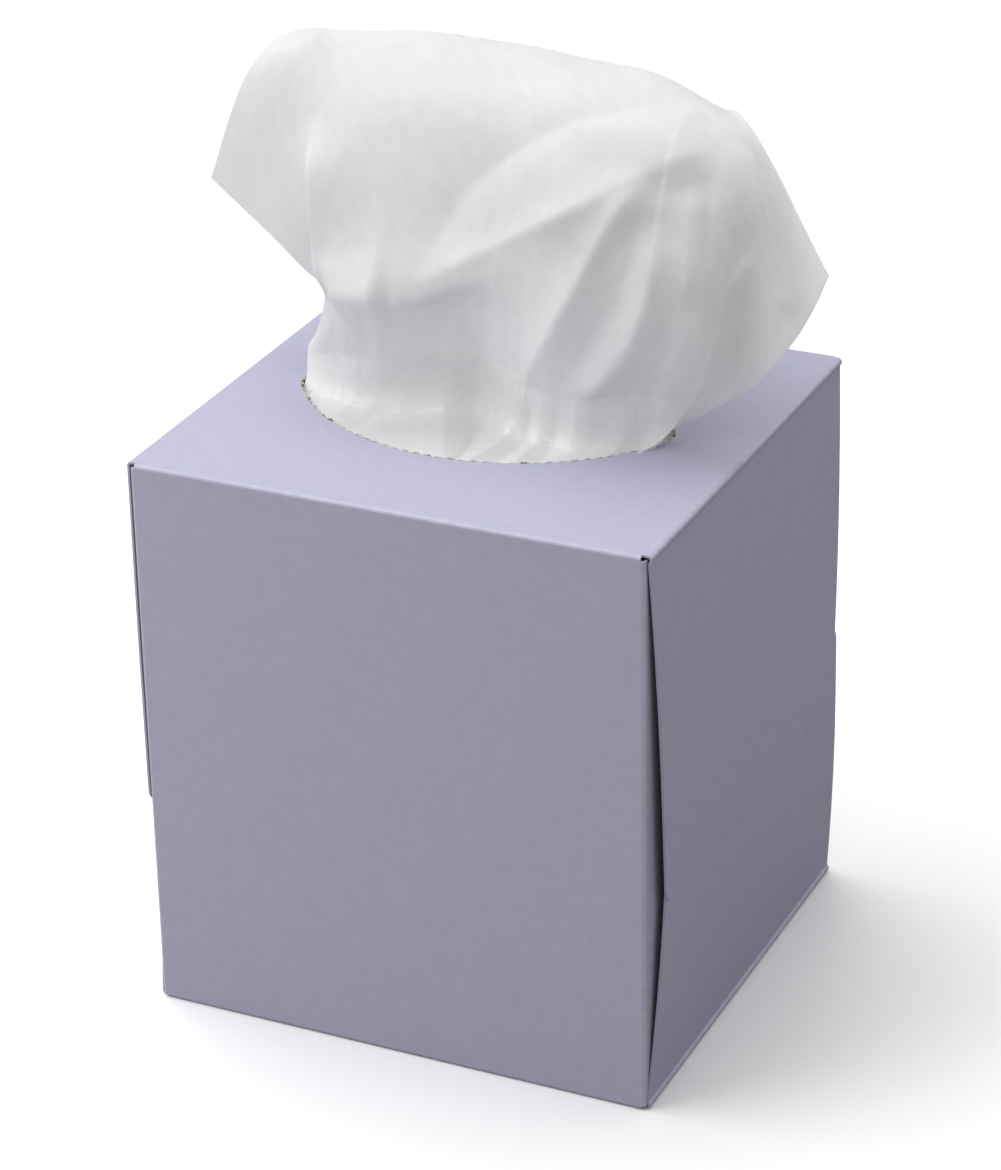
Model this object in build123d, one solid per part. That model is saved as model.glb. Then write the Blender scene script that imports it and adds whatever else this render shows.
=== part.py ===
from build123d import *
from math import atan, cos, exp, pi, radians, sin, sqrt
import os

# A cube carton of facial tissues with one sheet standing out of it.
# Millimetres, +Z up. The carton stands on Z = 0, centred on the Z axis, and its front looks along -Y.

# Carton
CARTON_WIDTH = 112.0  # along X
CARTON_DEPTH = 104.0  # along Y
CARTON_HEIGHT = 123.0  # along Z
BOARD = 0.45  # folding boxboard
FOLD_INSIDE = 0.45  # inside radius of a scored fold
TAB_HEIGHT = 12.0  # glued lap that closes the tube, inside the back panel

# End flaps on each side: two dust flaps, then the bottom flap, then the top flap over it
DUST_LENGTH_SHARE = 0.36  # of the depth
DUST_LEAN = 4.0  # degrees past square, pushed in
TOP_FLAP_SHARE = 0.63  # of the height
BOTTOM_FLAP_SHARE = 0.50
RIGHT_BULGE = 1.5  # how far the two glued flaps stand out at mid height
LEFT_BULGE = 0.3
RIGHT_TAPER = 4.7  # lost by the top flap on each side edge from the fold to the tip
LEFT_TAPER = 0.6
BOTTOM_TAPER = 4.4
BOTTOM_SKEW = 2.8  # the bottom flap is folded a little off square, towards the back
DUST_TAPER = 2.6
FLAP_RELIEF = 0.1  # cut back on each side of a flap at its fold
RIGHT_BEAD = 38.0  # degrees past square at a flap's fold, which leaves a bead along the panel's edge
LEFT_BEAD = 4.0
BEAD_RADIUS = 1.4  # inside the bend that brings the flap back
FLAP_CORNER = 3.0
LAYER_GAP = 0.15  # between one flap layer and the next
GLUE_BITE = 0.02  # glued layers share this much

# Opening and film
OPENING_WIDTH = 52.0  # along Y
OPENING_SIDE_RADIUS = 47.0
OPENING_END_RADIUS = 7.0
OPENING_SHIFT = -1.8  # along X, from the middle of the slit
FILM = 0.08
FILM_BORDER = 8.0  # glued to the top panel outside the opening
SLIT_LENGTH = 77.0
SLIT_WIDTH = 6.0

# Folded stack of sheets
STACK_CLEARANCE = 1.5  # from the stack to the front and back panels
SIDE_CLEARANCE = 1.2  # from the stack to the dust flaps
CROWN_GAP = 3.0  # from the top of the stack to the film
SHOULDER_RADIUS = 30.0  # where the stack bends over into its legs
LEG_GAP = 3.0  # slot between the two legs

# Standing sheet
SHEET = 0.3  # two plies
SEAT_GAP = 0.3  # from the sheet's hem to the stack
GATHER_SHARE = 0.25  # half height of the gathers, of the slit's width
GATHERS = 5
RIB_SLIT = 77.0  # length of the slit that the ribs below are drawn for
ACROSS = 48  # steps from the left edge to the right edge
ALONG = 22  # steps from the slit to the free edge
PATH_STEPS = 20  # places along each fold line

top = CARTON_HEIGHT
half_width = CARTON_WIDTH / 2
half_depth = CARTON_DEPTH / 2
fold_radius = FOLD_INSIDE + BOARD
film_bottom = top - BOARD - FILM


def board_strip(lead, bends, end):
    """Side view of a bent strip: a flat lead, then (larger radius, degrees) bends, then a flat end."""
    outside = [(-lead, 0.0)]
    inside = [(-lead, -BOARD)]
    heading = 0.0
    edges = []

    def run(length):
        for path in (outside, inside):
            x, y = path[-1]
            path.append((x + length * cos(heading), y + length * sin(heading)))
            edges.append(Line((x, y), path[-1]))

    run(lead)
    for radius, degrees in bends:
        x, y = outside[-1]
        way = 1 if degrees > 0 else -1
        outer = radius if degrees > 0 else radius - BOARD
        inner = radius - BOARD if degrees > 0 else radius
        centre = (x + way * outer * sin(heading), y - way * outer * cos(heading))
        for path, r in ((outside, outer), (inside, inner)):
            turn = CenterArc(centre, r, way * 90 + heading * 180 / pi, -degrees)
            edges.append(turn)
            path.append(((turn @ 1).X, (turn @ 1).Y))
        heading -= radians(degrees)
    run(end)
    edges.append(Line(outside[0], inside[0]))
    edges.append(Line(outside[-1], inside[-1]))
    return make_face(edges)


def flap(plane, profile, hinge, tip, drop, skew=0.0):
    """A flap on a panel edge; the plane has X out over the edge, Z out of the panel, Y along the fold."""
    strip = extrude(Plane.XZ * profile, hinge / 2, both=True)
    outline = Polyline(
        (-hinge / 2, 1.0),
        (-hinge / 2, -2 * fold_radius),
        (skew - tip / 2, -drop),
        (skew + tip / 2, -drop),
        (hinge / 2, -2 * fold_radius),
        (hinge / 2, 1.0),
        close=True,
    )
    leaf = make_face(outline)
    leaf = fillet(leaf.vertices().sort_by(Axis.Y)[:2], FLAP_CORNER)
    return plane * (strip & extrude(Plane.YZ * leaf, 20.0, both=True))


def bowed(height, bulge, turn):
    """The bends that fold a flap past square, bring it back and let it stand out after the given height."""
    bead = (fold_radius + BEAD_RADIUS - BOARD) * sin(radians(turn))
    lean = 2 * atan(bulge / (height - bead))
    return [
        (fold_radius, 90 + turn),
        (BEAD_RADIUS, -turn - lean * 180 / pi),
        ((height - bead) / sin(lean), lean * 180 / pi),
    ]


# Carton tube
top_end = half_width - fold_radius
bottom_end = top_end - BOARD + GLUE_BITE
dust_end = bottom_end - BOARD - LAYER_GAP
tube_half = dust_end - 0.1

tube_section = Plane.YZ * (
    RectangleRounded(CARTON_DEPTH, CARTON_HEIGHT, fold_radius)
    - RectangleRounded(CARTON_DEPTH - 2 * BOARD, CARTON_HEIGHT - 2 * BOARD, fold_radius - BOARD)
)
carton = Pos(0, 0, CARTON_HEIGHT / 2) * extrude(tube_section, tube_half, both=True)
tab = Box(2 * tube_half, BOARD, TAB_HEIGHT)
carton += Pos(0, half_depth - 1.5 * BOARD, (BOARD + TAB_HEIGHT) / 2) * tab

# End flaps
overlap_top = CARTON_HEIGHT * BOTTOM_FLAP_SHARE
overlap_bottom = CARTON_HEIGHT * (1 - TOP_FLAP_SHARE)
flap_hinge = CARTON_DEPTH - 2 * (fold_radius + FLAP_RELIEF)
dust_hinge = CARTON_HEIGHT - 2 * (fold_radius + FLAP_RELIEF)
dust_length = CARTON_DEPTH * DUST_LENGTH_SHARE

top_bow = CARTON_HEIGHT - overlap_top - fold_radius
bottom_bow = overlap_bottom - fold_radius
overlap = overlap_top - overlap_bottom
top_drop = CARTON_HEIGHT - overlap_bottom
dust_profile = board_strip(dust_end - tube_half, [(fold_radius, 90 + DUST_LEAN)], dust_length)

right_flaps = (1, RIGHT_BULGE, RIGHT_TAPER, RIGHT_BEAD)
left_flaps = (-1, LEFT_BULGE, LEFT_TAPER, LEFT_BEAD)
for side, bulge, taper, turn in (right_flaps, left_flaps):
    top_profile = board_strip(top_end - tube_half, bowed(top_bow, bulge, turn), overlap)
    bottom_profile = board_strip(bottom_end - tube_half, bowed(bottom_bow, bulge, turn), overlap)
    over = (side, 0, 0)
    top_plane = Plane(origin=(side * top_end, 0, top), x_dir=over, z_dir=(0, 0, 1))
    carton += flap(top_plane, top_profile, flap_hinge, flap_hinge - 2 * taper, top_drop)
    bottom_plane = Plane(origin=(side * bottom_end, 0, 0), x_dir=over, z_dir=(0, 0, -1))
    carton += flap(
        bottom_plane,
        bottom_profile,
        flap_hinge,
        flap_hinge - 2 * BOTTOM_TAPER,
        overlap_top,
        -side * BOTTOM_SKEW,
    )
    for front in (-1, 1):
        dust_plane = Plane(
            origin=(side * dust_end, front * half_depth, CARTON_HEIGHT / 2), x_dir=over, z_dir=(0, front, 0)
        )
        carton += flap(dust_plane, dust_profile, dust_hinge, dust_hinge - 2 * DUST_TAPER, dust_length)

# Opening in the top panel: an oval of four tangent arcs
side_centre = OPENING_SIDE_RADIUS - OPENING_WIDTH / 2
oval = Pos(0, side_centre) * Circle(OPENING_SIDE_RADIUS) & Pos(0, -side_centre) * Circle(OPENING_SIDE_RADIUS)
oval = fillet(oval.vertices(), OPENING_END_RADIUS)
opening_length = oval.bounding_box().size.X
carton -= Pos(OPENING_SHIFT, 0, top - 3) * extrude(oval, 6)

# Film under the opening
film_sheet = RectangleRounded(opening_length + 2 * FILM_BORDER, OPENING_WIDTH + 2 * FILM_BORDER, 3.0)
slit_film = Pos(0, 0, film_bottom) * extrude(film_sheet - SlotOverall(SLIT_LENGTH, SLIT_WIDTH), FILM)

# Stack of folded sheets, bent over into two legs
dust_reach = BOARD + dust_length * sin(radians(DUST_LEAN))
stack_half = dust_end + fold_radius - dust_reach - SIDE_CLEARANCE
stack_depth = CARTON_DEPTH - 2 * (BOARD + STACK_CLEARANCE)
crown = film_bottom - CROWN_GAP
slot_top = crown - stack_half + LEG_GAP / 2
stack_section = Pos(0, (crown + BOARD) / 2) * Rectangle(2 * stack_half, crown - BOARD)
stack_section = fillet(stack_section.vertices().sort_by(Axis.Y)[-2:], SHOULDER_RADIUS)
stack_section -= Pos(0, (slot_top + BOARD) / 2) * Rectangle(LEG_GAP, slot_top - BOARD)
stack_section -= Pos(0, slot_top) * Circle(LEG_GAP / 2)
tissue_stack = extrude(Plane.XZ * stack_section, stack_depth / 2, both=True)

# Standing sheet. Each rib runs from the slit to the free edge, and the left side edge is the first.
# Heights are above the top panel.
RIBS = [
    [
        (-36, 0, 0), (-40.5, 1, 5), (-39.5, 2, 11), (-38.5, 3, 17.5),
        (-44.5, 6, 20.5), (-52.5, 9.5, 24.5), (-61.5, 13, 29), (-71, 16, 34),
    ],
    [
        (-33, 0, 0), (-34.5, -4, 8), (-31.5, -9, 19.5), (-33.5, -6, 30.5),
        (-37, -3, 43), (-41.5, 1, 54), (-48, 7, 64.5), (-60, 16, 61),
    ],
    [
        (-25, 0, 0), (-22.5, -7, 10.5), (-18.5, -13, 24.5), (-20, -9, 36.5),
        (-23.5, -3, 49.5), (-30.5, 6, 60.5), (-43, 21, 66), (-53, 34, 63),
    ],
    [
        (-12, 0, 0), (-8, -6, 11.5), (-3.5, -11, 26), (-3, -9, 39.5),
        (-5.5, -3, 52.5), (-10.5, 8, 63.5), (-25, 28, 67.5), (-31.5, 42, 56.5),
    ],
    [
        (1, 0, 0), (5, -7, 11), (9, -11, 26.5), (10.5, -9, 41.5),
        (9, -1, 56), (2.5, 12, 64.5), (-7, 30, 66.5), (-11, 45, 55.5),
    ],
    [
        (14, 0, 0), (19, -9, 11), (23, -12, 25.5), (25.5, -10, 41),
        (24.5, -3, 55.5), (20, 9, 65), (12, 30, 65.5), (10.5, 44, 55),
    ],
    [
        (26, 0, 0), (32, -7, 11.5), (37.5, -10, 24.5), (40, -9, 39),
        (40.5, -4, 52.5), (38, 5, 62), (33.5, 20, 65.5), (33.5, 36, 56.5),
    ],
    [
        (33, 0, 0), (42.5, -3, 9.5), (47.5, -5, 20.5), (51, -5, 33),
        (53, -3, 44.5), (53.5, 0, 53), (53, 5, 59), (49.5, 14, 62),
    ],
    [
        (35, 0, 0), (43.5, 1, 4.5), (49.5, 2, 8.5), (54.5, 3, 12.5),
        (59, 3.5, 17.5), (63.5, 4, 24), (67, 4.5, 31), (69.5, 5, 37.5),
    ],
]

# Folds: points on the sheet as (share across, share along), then the height of the fold,
# its spread on the left and its spread on the right.
FOLDS = [
    ([(0.29, 0.30), (0.47, 0.42), (0.66, 0.55), (0.87, 0.77)], 4.0, 16.0, 6.0),
    ([(0.53, 0.08), (0.60, 0.30), (0.65, 0.46), (0.72, 0.61)], 3.0, 6.0, 7.0),
    ([(0.62, 0.08), (0.71, 0.23), (0.74, 0.39), (0.72, 0.56)], 3.0, 6.0, 6.0),
    ([(0.81, 0.36), (0.80, 0.50), (0.78, 0.62)], 2.0, 6.0, 6.0),
    ([(0.31, 0.54), (0.46, 0.615), (0.57, 0.655), (0.69, 0.72)], -4.5, 9.0, 9.0),
    ([(0.49, 0.565), (0.60, 0.645), (0.70, 0.686), (0.86, 0.786)], 2.5, 6.0, 8.0),
    ([(0.13, 0.31), (0.128, 0.45), (0.135, 0.58), (0.15, 0.74)], 2.0, 6.0, 9.0),
    ([(0.34, 0.33), (0.44, 0.19)], -4.0, 8.0, 8.0),
]


def through(points, share):
    """A smooth curve through points, at a share of its way."""
    last = len(points) - 1
    place = min(max(share, 0.0), 1.0) * last
    i = min(int(place), last - 1)
    f = place - i
    p1 = Vector(points[i])
    p2 = Vector(points[i + 1])
    p0 = Vector(points[i - 1]) if i > 0 else p1 * 2 - p2
    p3 = Vector(points[i + 2]) if i < last - 1 else p2 * 2 - p1
    return (
        p1 * 2 + (p2 - p0) * f + (p0 * 2 - p1 * 5 + p2 * 4 - p3) * f**2 + (p1 * 3 - p0 - p2 * 3 + p3) * f**3
    ) * 0.5


def sail(across, along):
    """The sheet without its folds."""
    return through([through(rib, along) for rib in RIBS], across)


def stack_top(x):
    """Height of the stack's top at x."""
    beyond = max(0.0, abs(x) - stack_half + SHOULDER_RADIUS)
    return crown - SHOULDER_RADIUS + sqrt(SHOULDER_RADIUS**2 - beyond**2)


def fold_lift(place):
    """How far all the folds lift the sheet at one place."""
    lift = 0.0
    for path, height, left, right in fold_paths:
        gap, k = min((abs(place - spot), k) for k, (spot, _) in enumerate(path))
        spot, leftward = path[k]
        leftness = 0.5 + 0.5 * (place - spot).dot(leftward) / max(gap, 0.01)
        spread = right + (left - right) * leftness
        fade = min(1.0, 4.0 * min(k, PATH_STEPS - k) / PATH_STEPS)
        lift += height * fade * exp(-((gap / spread) ** 2))
    return lift


# Fold lines as places on the sheet, each with the way to its left
fold_paths = []
for points, height, left, right in FOLDS:
    spots = [through([Vector(*point) for point in points], k / PATH_STEPS) for k in range(PATH_STEPS + 1)]
    path = []
    for k, spot in enumerate(spots):
        here = sail(spot.X, spot.Y)
        before = spots[max(k - 1, 0)]
        after = spots[min(k + 1, PATH_STEPS)]
        ahead = sail(after.X, after.Y) - sail(before.X, before.Y)
        side = sail(spot.X + 0.01, spot.Y) - sail(spot.X - 0.01, spot.Y)
        rise = sail(spot.X, spot.Y + 0.01) - sail(spot.X, spot.Y - 0.01)
        path.append((here, side.cross(rise).cross(ahead).normalized()))
    fold_paths.append((path, height, left, right))

# The sheet's middle surface as rows of points, and the way its front looks at each
rows = []
for j in range(ALONG + 1):
    ribs_here = [through(rib, j / ALONG) for rib in RIBS]
    rows.append([through(ribs_here, i / ACROSS) for i in range(ACROSS + 1)])


def facing(grid, i, j):
    """The way the front of a grid of points looks at one of them."""
    rise = grid[min(j + 1, len(grid) - 1)][i] - grid[max(j - 1, 0)][i]
    side = grid[j][min(i + 1, ACROSS)] - grid[j][max(i - 1, 0)]
    return side.cross(rise).normalized()


middle = []
for j in range(ALONG + 1):
    row = []
    for i in range(ACROSS + 1):
        across = i / ACROSS
        along = j / ALONG
        lift = fold_lift(rows[j][i]) * min(1.0, along / 0.1)
        place = rows[j][i] + facing(rows, i, j) * lift
        swing = sin(2 * pi * GATHERS * across) * (1 - (2 * across - 1) ** 4) * exp(-along / 0.12)
        gather = SLIT_WIDTH * GATHER_SHARE * swing
        row.append(Vector(place.X * SLIT_LENGTH / RIB_SLIT, place.Y + gather, place.Z + top))
    middle.append(row)

# Below the slit the sheet goes straight down and ends just above the stack
tail = []
for share in (0.0, 0.5):
    row = []
    for spot in middle[0]:
        seat = stack_top(spot.X) + SEAT_GAP
        row.append(Vector(spot.X, spot.Y, seat + (top - seat) * share))
    tail.append(row)
middle = tail + middle

# Each row becomes a ring round the sheet's thickness, and flat triangles join one ring to the next
rings = []
for j, row in enumerate(middle):
    push = [facing(middle, i, j) * (SHEET / 2) for i in range(ACROSS + 1)]
    front = [row[i] + push[i] for i in range(ACROSS + 1)]
    back = [row[i] - push[i] for i in range(ACROSS + 1)]
    rings.append(front + back[::-1])

facets = []


def patch(a, b, c, d):
    """Two flat triangles over four corners that follow each other, split along the shorter diagonal."""
    if abs(a - c) < abs(b - d):
        a, b, c, d = b, c, d, a
    for corners in ((a, b, d), (b, c, d)):
        facets.append(Face(Wire.make_polygon(corners)))


around = 2 * (ACROSS + 1)
for low, high in zip(rings[:-1], rings[1:]):
    for i in range(around):
        k = (i + 1) % around
        patch(low[i], low[k], high[k], high[i])
for ring in (rings[0], rings[-1]):
    for i in range(ACROSS):
        patch(ring[i], ring[i + 1], ring[around - 2 - i], ring[around - 1 - i])
pop_up_tissue = Solid(Shell(facets))

os.makedirs("parts", exist_ok=True)
export_step(carton, "parts/carton.step")
export_step(slit_film, "parts/slit_film.step")
export_step(tissue_stack, "parts/tissue_stack.step")
export_step(pop_up_tissue, "parts/pop_up_tissue.step")
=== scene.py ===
# %% [markdown]
# # A cube carton of facial tissues
# The carton, its film and the folded stack come from CAD as a fixed frame, in metres. This lesson dresses
# them: it sets the camera and the light, gives each surface a finish, and models the soft sheets, the slit
# film and the torn edge of the opening, which CAD holds only in plain form.

# %% Load the frame
import math
import bpy
import numpy as np
from mathutils import Matrix, Vector


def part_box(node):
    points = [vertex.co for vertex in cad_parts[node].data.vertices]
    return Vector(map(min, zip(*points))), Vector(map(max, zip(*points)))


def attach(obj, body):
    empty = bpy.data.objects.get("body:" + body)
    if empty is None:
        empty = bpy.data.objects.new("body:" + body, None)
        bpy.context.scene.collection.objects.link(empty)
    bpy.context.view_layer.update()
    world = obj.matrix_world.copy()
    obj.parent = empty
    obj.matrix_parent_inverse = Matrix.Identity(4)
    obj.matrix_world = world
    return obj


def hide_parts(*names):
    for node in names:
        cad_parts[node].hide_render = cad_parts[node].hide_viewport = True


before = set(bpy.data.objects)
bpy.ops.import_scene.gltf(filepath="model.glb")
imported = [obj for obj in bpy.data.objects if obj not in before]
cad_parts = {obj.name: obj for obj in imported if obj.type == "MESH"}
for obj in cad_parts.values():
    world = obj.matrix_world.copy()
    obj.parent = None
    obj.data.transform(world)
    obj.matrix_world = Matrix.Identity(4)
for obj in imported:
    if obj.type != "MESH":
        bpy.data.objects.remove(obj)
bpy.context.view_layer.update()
MM = 0.001
carton_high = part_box("carton")[1]
film_low, film_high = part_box("slit_film")
stack_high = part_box("tissue_stack")[1]
TOP = carton_high[2]
print("nodes", sorted(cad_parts))
levels = (TOP / MM, film_low[2] / MM, stack_high[2] / MM)
print("top panel %.2f mm, film %.2f mm, stack %.2f mm" % levels)

# %% [markdown]
# ## Helpers
# Colours are written as sRGB hex values, as a colour picker gives them, but shaders work in linear light,
# so one function turns one into the other. A second adds a node with its settings and links, so each
# material below reads as a list of what feeds what. An operator acts on all that is selected, so a third
# clears the selection.


# %% Colour, node and selection helpers
def linear(hex_colour):
    """An sRGB hex colour as linear red, green, blue and alpha."""
    parts = [int(hex_colour[k : k + 2], 16) / 255 for k in (1, 3, 5)]
    return tuple(p / 12.92 if p <= 0.04045 else ((p + 0.055) / 1.055) ** 2.4 for p in parts) + (1.0,)


def add(tree, kind, inputs=None, **settings):
    """A new node with its settings, its input values and its links."""
    node = tree.nodes.new(kind)
    for name, value in settings.items():
        setattr(node, name, value)
    for name, value in (inputs or {}).items():
        if isinstance(value, bpy.types.NodeSocket):
            tree.links.new(value, node.inputs[name])
        else:
            node.inputs[name].default_value = value
    return node


def new_material(name):
    """An empty node material and its tree."""
    material = bpy.data.materials.new(name)
    material.use_nodes = True
    material.node_tree.nodes.clear()
    return material, material.node_tree


def deselect_all():
    if bpy.context.object and bpy.context.object.mode != "OBJECT":
        bpy.ops.object.mode_set(mode="OBJECT")
    bpy.ops.object.select_all(action="DESELECT")


# %% [markdown]
# ## Camera
# The view is from the front right, some 0.8 m away and 26 degrees above the table, through a long lens. The
# numbers come from fitting a camera to the carton's corners.

# %% Camera
VIEW_AZIMUTH = math.radians(25.12)
VIEW_ELEVATION = math.radians(26.30)
VIEW_ROLL = math.radians(-1.108)
VIEW_PLACE = Vector((0.31102, -0.66164, 0.44451))
LENS = 121.57

back = Vector(
    (
        math.sin(VIEW_AZIMUTH) * math.cos(VIEW_ELEVATION),
        -math.cos(VIEW_AZIMUTH) * math.cos(VIEW_ELEVATION),
        math.sin(VIEW_ELEVATION),
    )
)
level = Vector((math.cos(VIEW_AZIMUTH), math.sin(VIEW_AZIMUTH), 0))
upward = back.cross(level)
right = level * math.cos(VIEW_ROLL) + upward * math.sin(VIEW_ROLL)
up = upward * math.cos(VIEW_ROLL) - level * math.sin(VIEW_ROLL)
camera_data = bpy.data.cameras.new("camera")
camera = bpy.data.objects.new("camera", camera_data)
bpy.context.scene.collection.objects.link(camera)
camera.matrix_world = Matrix.Translation(VIEW_PLACE) @ Matrix((right, up, back)).transposed().to_4x4()
camera_data.lens = LENS
camera_data.sensor_width = 36
bpy.context.scene.camera = camera
print("camera at", [round(x, 3) for x in VIEW_PLACE])

# %% [markdown]
# ## Floor and light
# A white table, two large soft lamps high in front and behind, a small one low on the left, and a white
# room that fills the shadows. The floor is a plain matt plane that keeps the shadow. It is white for the
# camera and grey for all other light, so that it reads as white and still throws little light up at the
# carton.

# %% Floor
FLOOR_SIZE = 8.0
FLOOR_SEEN = "#FFFFFF"
FLOOR_FELT = "#7A7A7A"
deselect_all()
bpy.ops.mesh.primitive_plane_add(size=FLOOR_SIZE)
floor = bpy.context.object
floor.name = "floor"
floor_paint, tree = new_material("matt white table")
path = add(tree, "ShaderNodeLightPath")
shade = add(
    tree,
    "ShaderNodeMix",
    {0: path.outputs["Is Camera Ray"], 6: linear(FLOOR_FELT), 7: linear(FLOOR_SEEN)},
    data_type="RGBA",
)
matt = add(tree, "ShaderNodeBsdfDiffuse", {"Color": shade.outputs[2]})
add(tree, "ShaderNodeOutputMaterial", {"Surface": matt.outputs[0]})
floor.data.materials.append(floor_paint)
print("floor laid")

# %% World and lamps
FILL = 0.67
world = bpy.data.worlds.new("white room")
bpy.context.scene.world = world
world.use_nodes = True
tree = world.node_tree
tree.nodes.clear()
path = add(tree, "ShaderNodeLightPath")
seen = add(
    tree,
    "ShaderNodeMath",
    {0: path.outputs["Is Camera Ray"], 1: path.outputs["Is Transmission Ray"]},
    operation="MAXIMUM",
)
strength = add(tree, "ShaderNodeMapRange", {"Value": seen.outputs[0], "To Min": FILL, "To Max": 1.0})
room = add(tree, "ShaderNodeBackground", {"Color": (1, 1, 1, 1), "Strength": strength.outputs[0]})
add(tree, "ShaderNodeOutputWorld", {"Surface": room.outputs[0]})
bpy.context.scene.view_settings.view_transform = "Standard"


def soft_lamp(name, position, target, size, watts):
    """A square area lamp that looks at a target."""
    data = bpy.data.lights.new(name, "AREA")
    data.size = size
    data.energy = watts
    lamp = bpy.data.objects.new(name, data)
    bpy.context.scene.collection.objects.link(lamp)
    lamp.location = position
    lamp.rotation_euler = (Vector(target) - Vector(position)).to_track_quat("-Z", "Y").to_euler()


soft_lamp("front lamp", position=(-1.50, -0.70, 2.10), target=(0, 0, 0.14), size=1.8, watts=24.0)
soft_lamp("back lamp", position=(-0.70, 0.70, 2.70), target=(0, 0, 0.14), size=1.8, watts=31.0)
soft_lamp("side lamp", position=(-0.28, -0.28, 0.12), target=(0, 0, 0.03), size=0.30, watts=0.36)
print("lamps set")

# %% [markdown]
# ## Printed board
# The carton is folding boxboard, printed an even lavender and matt varnished outside, and bare inside and
# on its cut edges. The print hides most of the fibre, so the outside shows a faint mottle and a fine tooth,
# and no gloss to speak of. A face looks in where its normal points to the carton's middle, which tells the
# bare side from the printed one. Round each scored fold, where the normal lies along no axis, the ink is
# painted a little paler: partly stretched ink, partly a painted highlight along the fold.

# %% Printed board: the two sides and the patterns
LAVENDER = "#B0AFC5"
LAVENDER_PALE = "#B6B5CA"
# Paler lavender at the folds: stretched ink and a painted highlight along each fold
LAVENDER_FOLD_WEAR_AND_HIGHLIGHT = "#CFCEDF"
BARE_BOARD_DARK = "#A79F94"
BARE_BOARD_PALE = "#D2CCC2"
MOTTLE_MM = 2.2
TOOTH_MM = 0.35
# Matt varnished boxboard: an even, dull lavender with a faint mottle, and bare grey fibre at cut edges
board, tree = new_material("matt varnished boxboard")
where = add(tree, "ShaderNodeTexCoord")
middle = add(
    tree,
    "ShaderNodeVectorMath",
    {0: where.outputs["Object"], 1: (0, 0, TOP / 2)},
    operation="SUBTRACT",
)
looks = add(
    tree,
    "ShaderNodeVectorMath",
    {0: middle.outputs[0], 1: where.outputs["Normal"]},
    operation="DOT_PRODUCT",
)
outside = add(tree, "ShaderNodeMath", {0: looks.outputs["Value"], 1: 0.0}, operation="GREATER_THAN")
mottle = add(
    tree,
    "ShaderNodeTexNoise",
    {"Vector": where.outputs["Object"], "Scale": 1 / (MOTTLE_MM * MM), "Detail": 4.0},
)
tooth = add(
    tree,
    "ShaderNodeTexNoise",
    {"Vector": where.outputs["Object"], "Scale": 1 / (TOOTH_MM * MM), "Detail": 3.0},
)
print("mottle %.1f mm, tooth %.2f mm" % (MOTTLE_MM, TOOTH_MM))

# %% Printed board: ink, folds paler with a painted highlight, and bare edges
ink = add(tree, "ShaderNodeValToRGB", {"Fac": mottle.outputs["Fac"]})
ink.color_ramp.elements[0].position = 0.35
ink.color_ramp.elements[0].color = linear(LAVENDER)
ink.color_ramp.elements[1].position = 0.85
ink.color_ramp.elements[1].color = linear(LAVENDER_PALE)
tilt = add(tree, "ShaderNodeVectorMath", {0: where.outputs["Normal"]}, operation="ABSOLUTE")
tilts = add(tree, "ShaderNodeSeparateXYZ", {0: tilt.outputs[0]})
two = add(tree, "ShaderNodeMath", {0: tilts.outputs[0], 1: tilts.outputs[1]}, operation="MAXIMUM")
squareness = add(tree, "ShaderNodeMath", {0: two.outputs[0], 1: tilts.outputs[2]}, operation="MAXIMUM")
# Painted highlight: round each fold, where the normal lies along no axis, the ink is painted paler
fold = add(
    tree,
    "ShaderNodeMapRange",
    {"Value": squareness.outputs[0], "From Min": 0.985, "From Max": 0.85, "To Min": 0.0, "To Max": 0.75},
)
fold_wear_and_highlight = add(tree, "ShaderNodeMath", {0: fold.outputs[0], 1: mottle.outputs["Fac"]}, operation="MULTIPLY")
print_side = add(
    tree,
    "ShaderNodeMix",
    {0: fold_wear_and_highlight.outputs[0], 6: ink.outputs["Color"], 7: linear(LAVENDER_FOLD_WEAR_AND_HIGHLIGHT)},
    data_type="RGBA",
)
bare = add(tree, "ShaderNodeValToRGB", {"Fac": tooth.outputs["Fac"]})
bare.color_ramp.elements[0].position = 0.3
bare.color_ramp.elements[0].color = linear(BARE_BOARD_DARK)
bare.color_ramp.elements[1].position = 0.75
bare.color_ramp.elements[1].color = linear(BARE_BOARD_PALE)
skin = add(
    tree,
    "ShaderNodeMix",
    {0: outside.outputs[0], 6: bare.outputs["Color"], 7: print_side.outputs[2]},
    data_type="RGBA",
)
print("board colours", LAVENDER, LAVENDER_PALE, LAVENDER_FOLD_WEAR_AND_HIGHLIGHT, BARE_BOARD_DARK, BARE_BOARD_PALE)

# %% Printed board: surface
grain = add(
    tree,
    "ShaderNodeMath",
    {0: mottle.outputs["Fac"], 1: 0.6, 2: tooth.outputs["Fac"]},
    operation="MULTIPLY_ADD",
)
bump = add(tree, "ShaderNodeBump", {"Height": grain.outputs[0], "Strength": 0.10, "Distance": 0.05 * MM})
dull = add(tree, "ShaderNodeMapRange", {"Value": mottle.outputs["Fac"], "To Min": 0.50, "To Max": 0.64})
surface = add(
    tree,
    "ShaderNodeBsdfPrincipled",
    {
        "Base Color": skin.outputs[2],
        "Roughness": dull.outputs[0],
        "Specular IOR Level": 0.35,
        "Normal": bump.outputs["Normal"],
    },
)
add(tree, "ShaderNodeOutputMaterial", {"Surface": surface.outputs[0]})
carton = bpy.data.objects["carton"]
carton.data.materials.clear()
carton.data.materials.append(board)
print("board nodes", len(tree.nodes))

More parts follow.
